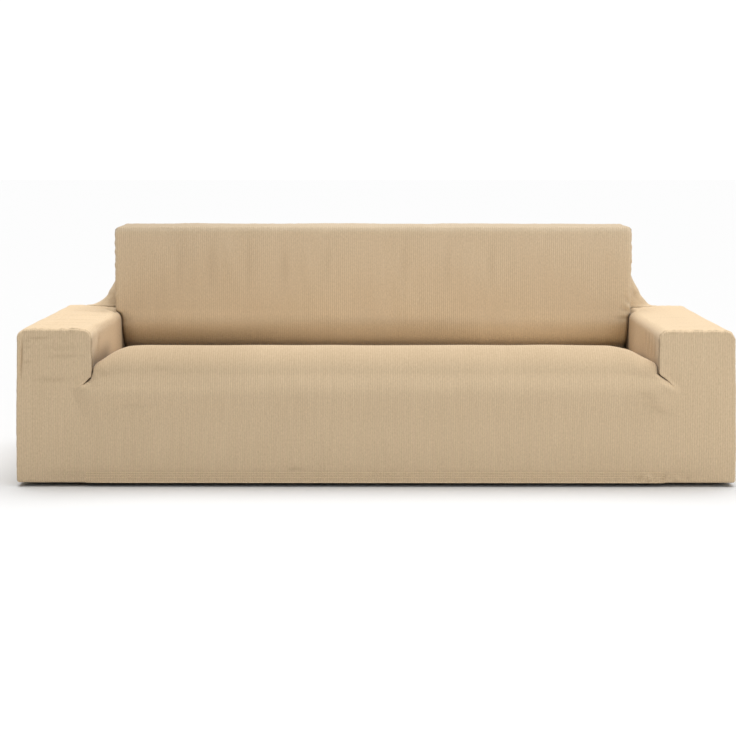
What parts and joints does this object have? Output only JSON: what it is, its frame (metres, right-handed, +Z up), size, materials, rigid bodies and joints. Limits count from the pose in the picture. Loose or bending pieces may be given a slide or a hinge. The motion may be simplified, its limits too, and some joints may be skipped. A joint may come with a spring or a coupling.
{
  "type": "sofa slipcover",
  "caption": "Fitted stretch-knit slipcover for a three-seat sofa: hollow, open at the hem, with covered arms, seat and back.",
  "frame": {"origin": "middle of the footprint, at the height of the hem", "axes": "+X along the seat to the right arm as seen from the front, +Y from the front to the rear, +Z up"},
  "size_m": [2.3, 0.94, 0.786],
  "materials": {
    "front_cloth": "sand-beige ribbed stretch knit, matt",
    "inside_back_cloth": "sand-beige ribbed stretch knit, matt",
    "outside_back_cloth": "sand-beige ribbed stretch knit, matt",
    "arm_cloth": "sand-beige ribbed stretch knit, matt"
  },
  "bodies": {
    "root": {"front_panel": "front_cloth", "inside_back_panel": "inside_back_cloth", "outside_back_panel": "outside_back_cloth", "arm_panel_left": "arm_cloth", "arm_panel_right": "arm_cloth"}
  },
  "joints": []
}
